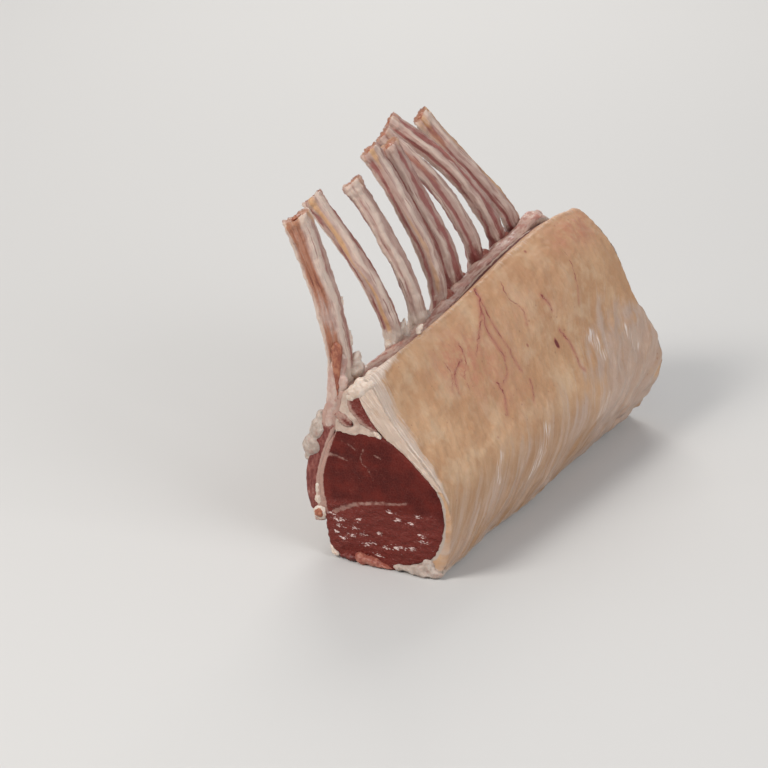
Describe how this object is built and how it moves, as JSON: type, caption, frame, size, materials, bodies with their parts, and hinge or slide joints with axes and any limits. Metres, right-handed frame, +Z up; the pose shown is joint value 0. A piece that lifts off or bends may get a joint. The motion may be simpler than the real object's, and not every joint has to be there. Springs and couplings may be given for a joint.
{
  "type": "rack of lamb",
  "caption": "Raw rack of lamb, cap on, standing on its loin with the frenched rib bones up and leaning to the cavity side.",
  "frame": {"origin": "centre of the bounding box, on the surface the rack stands on", "axes": "+Y runs along the rack from the front (large-eye) cut face to the rear one, +X points to the fat side, +Z is up"},
  "size_m": [0.112, 0.2008, 0.1543],
  "materials": {
    "lean": "moist raw lean meat, dark maroon, finely marbled",
    "wall_lean": "raw meat between the ribs under a thin pale membrane",
    "fat": "dry tan fat and silverskin with fine vessels",
    "white_fat": "white cut fat",
    "bone": "scraped rib bone, off-white with red and yellow streaks"
  },
  "bodies": {
    "root": {"eye_muscle": "lean", "cap_lean": "lean", "small_muscle": "lean", "rib_wall": "wall_lean", "fat_cap": "fat", "seam_fat": "white_fat", "rib_1": "bone", "rib_2": "bone", "rib_3": "bone", "rib_4": "bone", "rib_5": "bone", "rib_6": "bone", "rib_7": "bone", "rib_8": "bone"}
  },
  "joints": []
}
